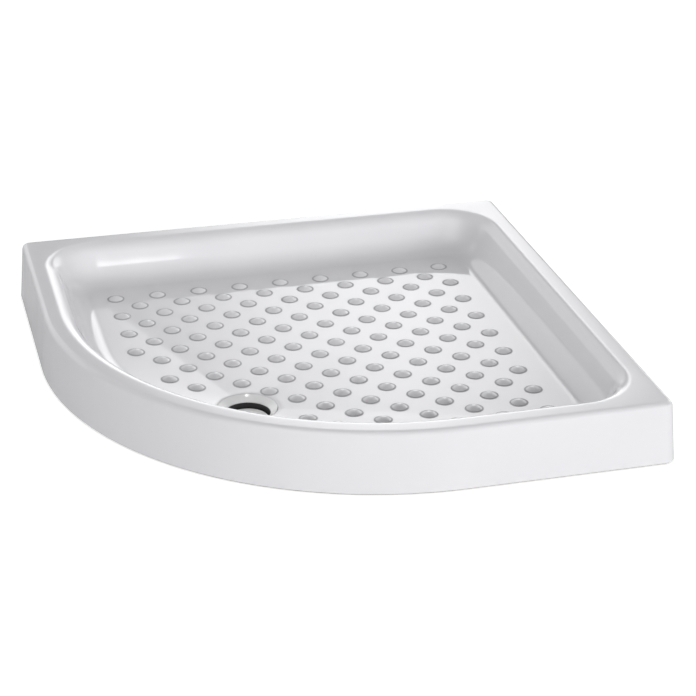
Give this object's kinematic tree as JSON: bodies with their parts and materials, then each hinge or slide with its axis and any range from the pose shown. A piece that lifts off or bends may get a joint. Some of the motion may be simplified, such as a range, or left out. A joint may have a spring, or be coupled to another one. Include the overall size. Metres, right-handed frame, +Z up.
{
  "type": "quadrant shower tray",
  "caption": "White glazed quadrant shower tray with a curved front, a rounded rim, a coved basin falling to the waste, staggered anti-slip bumps and a lift-out strainer.",
  "frame": {"origin": "middle of the square round the base, on the floor", "axes": "+Z up; +X and +Y towards the two straight wall sides; the curved front faces -X -Y"},
  "size_m": [0.9, 0.9, 0.1],
  "materials": {
    "glazed_fireclay": "gloss",
    "white_plastic": "gloss",
    "black_plastic": "matte",
    "rubber": "matte"
  },
  "bodies": {
    "tray": {"tray_casting": "glazed_fireclay", "waste_ring": "white_plastic", "ring_gasket": "rubber", "waste_body": "black_plastic", "flange_gasket": "rubber", "pipe_seal": "rubber"},
    "strainer": {"strainer": "white_plastic"}
  },
  "joints": [
    {"name": "strainer_lift", "type": "slide", "parent": "tray", "child": "strainer", "axis": [0, 0, 1], "range_m": [0, 0.1]}
  ]
}
